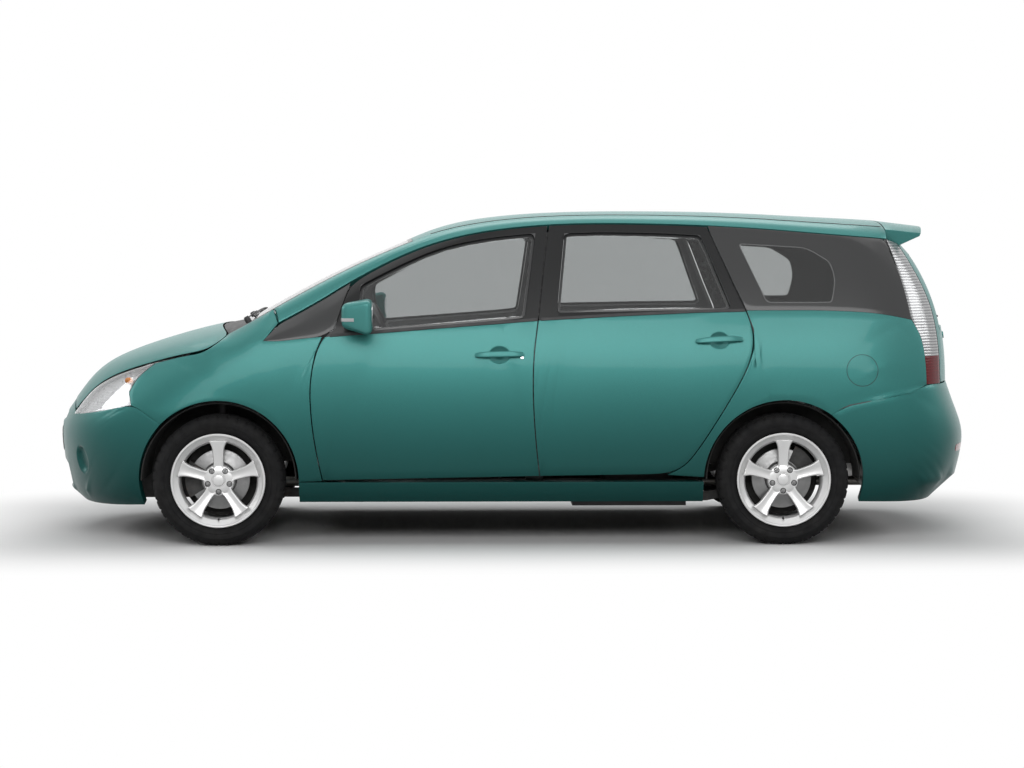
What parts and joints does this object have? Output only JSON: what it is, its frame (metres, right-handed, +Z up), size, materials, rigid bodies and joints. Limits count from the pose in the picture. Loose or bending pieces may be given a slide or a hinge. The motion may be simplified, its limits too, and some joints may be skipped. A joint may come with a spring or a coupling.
{
  "type": "minivan",
  "caption": "Family minivan with side-hinged doors, rear tailgate, opening bonnet, rows of seats, steered front wheels and turning wheels.",
  "frame": {"origin": "on the ground under the middle of the vehicle's bounding box", "axes": "+X towards the front bumper, +Y to the vehicle's left, +Z up"},
  "size_m": [4.765, 2.1014, 1.6829],
  "materials": {
    "paint": "metallic teal green with clear coat",
    "glass": "clear",
    "tinted_glass": "dark tint",
    "lamp_lens": "clear moulded lens",
    "dark_trim": "fine grain",
    "cabin_trim": "soft grain",
    "upholstery": "woven",
    "underbody": "satin primer",
    "cast_parts": "as cast",
    "exhaust_steel": "dull",
    "tank_plastic": "satin",
    "wheel_alloy": "silver lacquer",
    "tyre_rubber": "matt"
  },
  "bodies": {
    "body_shell": {"floor_pan": "underbody", "wheel_liners": "dark_trim", "side_frames": "underbody", "roof_panel": "paint", "body_sides": "paint", "front_fenders": "paint", "cowl_panel": "dark_trim", "front_bumper": "paint", "grille": "dark_trim", "rear_bumper": "paint", "windscreen": "glass", "side_glass": "glass", "headlamps": "lamp_lens", "tail_lamps": "lamp_lens", "dashboard": "cabin_trim", "front_seats": "upholstery", "middle_seats": "upholstery", "rear_seats": "upholstery", "engine_block": "cast_parts", "front_subframe": "cast_parts", "rear_axle": "cast_parts", "exhaust_system": "exhaust_steel", "fuel_tank": "tank_plastic"},
    "bonnet_lid": {"bonnet": "paint"},
    "tailgate_lid": {"tailgate": "paint", "tailgate_glass": "tinted_glass"},
    "steering_wheel_assembly": {"steering_wheel": "cabin_trim"},
    "door_front_left": {"front_door_left": "paint", "front_glass_left": "glass", "mirror_left": "paint"},
    "door_rear_left": {"rear_door_left": "paint", "rear_glass_left": "tinted_glass"},
    "knuckle_front_left": {"knuckle_left": "cast_parts"},
    "door_front_right": {"front_door_right": "paint", "front_glass_right": "glass", "mirror_right": "paint"},
    "door_rear_right": {"rear_door_right": "paint", "rear_glass_right": "tinted_glass"},
    "knuckle_front_right": {"knuckle_right": "cast_parts"},
    "wheel_front_left": {"rim_front_left": "wheel_alloy", "tyre_front_left": "tyre_rubber"},
    "wheel_front_right": {"rim_front_right": "wheel_alloy", "tyre_front_right": "tyre_rubber"},
    "wheel_rear_left": {"rim_rear_left": "wheel_alloy", "tyre_rear_left": "tyre_rubber"},
    "wheel_rear_right": {"rim_rear_right": "wheel_alloy", "tyre_rear_right": "tyre_rubber"}
  },
  "joints": [
    {"name": "front_left_door_hinge", "type": "hinge", "parent": "body_shell", "child": "door_front_left", "pos_m": [1.014, 0.899, 0.7], "axis": [0, 0, -1], "range_deg": [0, 65]},
    {"name": "front_right_door_hinge", "type": "hinge", "parent": "body_shell", "child": "door_front_right", "pos_m": [1.014, -0.899, 0.7], "axis": [0, 0, 1], "range_deg": [0, 65]},
    {"name": "rear_left_door_hinge", "type": "hinge", "parent": "body_shell", "child": "door_rear_left", "pos_m": [-0.103, 0.899, 0.7], "axis": [0, 0, -1], "range_deg": [0, 68]},
    {"name": "rear_right_door_hinge", "type": "hinge", "parent": "body_shell", "child": "door_rear_right", "pos_m": [-0.103, -0.899, 0.7], "axis": [0, 0, 1], "range_deg": [0, 68]},
    {"name": "bonnet_hinge", "type": "hinge", "parent": "body_shell", "child": "bonnet_lid", "pos_m": [1.4, 0, 1.1], "axis": [0, -1, 0], "range_deg": [0, 55]},
    {"name": "tailgate_hinge", "type": "hinge", "parent": "body_shell", "child": "tailgate_lid", "pos_m": [-1.9, 0, 1.64], "axis": [0, 1, 0], "range_deg": [0, 80]},
    {"name": "steering_wheel_turn", "type": "hinge", "parent": "body_shell", "child": "steering_wheel_assembly", "pos_m": [0.64, 0.37, 1.04], "axis": [-0.8829, 0, 0.4695], "range_deg": [-540, 540]},
    {"name": "left_kingpin", "type": "hinge", "parent": "body_shell", "child": "knuckle_front_left", "pos_m": [1.4775, 0.709, 0.21], "axis": [0, -0.1857, 0.9826], "range_deg": [-34, 34]},
    {"name": "right_kingpin", "type": "hinge", "parent": "body_shell", "child": "knuckle_front_right", "pos_m": [1.4775, -0.709, 0.21], "axis": [0, 0.1857, 0.9826], "range_deg": [-34, 34]},
    {"name": "front_left_wheel_spin", "type": "hinge", "parent": "knuckle_front_left", "child": "wheel_front_left", "pos_m": [1.4775, 0.775, 0.328], "axis": [0, 1, 0], "continuous": true},
    {"name": "front_right_wheel_spin", "type": "hinge", "parent": "knuckle_front_right", "child": "wheel_front_right", "pos_m": [1.4775, -0.775, 0.328], "axis": [0, 1, 0], "continuous": true},
    {"name": "rear_left_wheel_spin", "type": "hinge", "parent": "body_shell", "child": "wheel_rear_left", "pos_m": [-1.3525, 0.775, 0.328], "axis": [0, 1, 0], "continuous": true},
    {"name": "rear_right_wheel_spin", "type": "hinge", "parent": "body_shell", "child": "wheel_rear_right", "pos_m": [-1.3525, -0.775, 0.328], "axis": [0, 1, 0], "continuous": true}
  ],
  "couplings": [
    {"joint": "right_kingpin", "follows": "left_kingpin", "ratio": 1},
    {"joint": "steering_wheel_turn", "follows": "left_kingpin", "ratio": 15.5}
  ]
}
